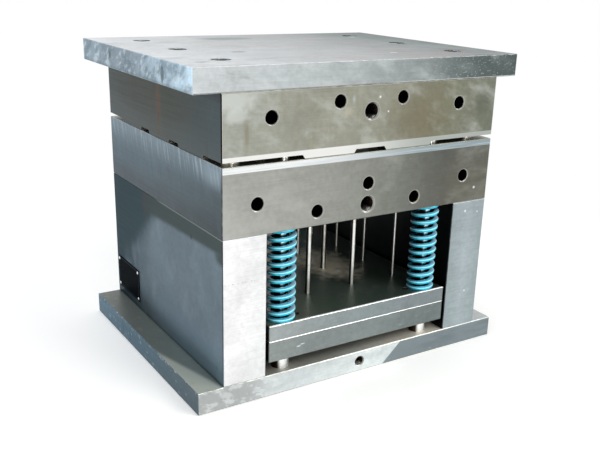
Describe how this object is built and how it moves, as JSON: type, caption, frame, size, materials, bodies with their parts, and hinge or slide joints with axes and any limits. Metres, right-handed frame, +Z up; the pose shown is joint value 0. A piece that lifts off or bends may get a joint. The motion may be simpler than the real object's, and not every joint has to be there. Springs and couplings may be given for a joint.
{
  "type": "compression mould",
  "caption": "Steel compression mould with clamp plates, heated upper and lower mould plates, spacers and a spring-returned ejector set.",
  "frame": {"origin": "centre of the bottom clamp plate's underside", "axes": "+Z up along the opening stroke; X side to side through both spacers; -Y towards the front, where the springs and the eyebolt threads face the viewer"},
  "size_m": [0.525, 0.4, 0.456],
  "materials": {
    "ground_steel": "ground plate steel with handling marks",
    "mould_steel": "ground mould steel with a grey oily film and light rust",
    "ejector_steel": "oiled dark ground steel",
    "hardened_steel": "bright ground hardened steel",
    "black_screw": "black oxide screw steel",
    "bush_bronze": "turned bearing bronze",
    "spring_paint": "light blue gloss paint on flat spring wire",
    "name_plate": "black lacquered sheet, blank",
    "rivet": "bright rivet heads"
  },
  "bodies": {
    "lower_half": {"bottom_clamp_plate": "ground_steel", "spacer_left": "ground_steel", "spacer_right": "ground_steel", "lower_mould_plate": "mould_steel", "cavity_block": "hardened_steel", "guide_pin_front_left": "hardened_steel", "guide_pin_front_right": "hardened_steel", "guide_pin_back_left": "hardened_steel", "guide_pin_back_right": "hardened_steel", "base_screws": "black_screw", "spacer_screws": "black_screw", "spacer_dowels": "hardened_steel", "cavity_block_screws": "black_screw", "stop_pads": "hardened_steel", "stop_pad_screws": "black_screw", "name_plate": "name_plate", "name_plate_rivets": "rivet", "spring_front_left": "spring_paint", "spring_front_right": "spring_paint", "spring_back_left": "spring_paint", "spring_back_right": "spring_paint"},
    "upper_half": {"top_clamp_plate": "ground_steel", "top_clamp_screws": "black_screw", "upper_mould_plate": "mould_steel", "force_block": "hardened_steel", "force_block_screws": "black_screw", "guide_bush_front_left": "bush_bronze", "guide_bush_front_right": "bush_bronze", "guide_bush_back_left": "bush_bronze", "guide_bush_back_right": "bush_bronze"},
    "ejector_set": {"ejector_base_plate": "ejector_steel", "ejector_retainer_plate": "ejector_steel", "ejector_plate_screws": "black_screw", "return_pin_front_left": "hardened_steel", "return_pin_front_right": "hardened_steel", "return_pin_back_left": "hardened_steel", "return_pin_back_right": "hardened_steel", "ejector_pins_thick": "hardened_steel", "ejector_pins_thin": "hardened_steel"}
  },
  "joints": [
    {"name": "mould_opening", "type": "slide", "parent": "lower_half", "child": "upper_half", "axis": [0, 0, 1], "range_m": [0, 0.24]},
    {"name": "ejector_stroke", "type": "slide", "parent": "lower_half", "child": "ejector_set", "axis": [0, 0, 1], "range_m": [0, 0.06], "deforming": ["spring_front_left", "spring_front_right", "spring_back_left", "spring_back_right"]}
  ],
  "couplings": [
    {"joint": "ejector_stroke", "follows": "mould_opening", "ratio": 0.25}
  ]
}
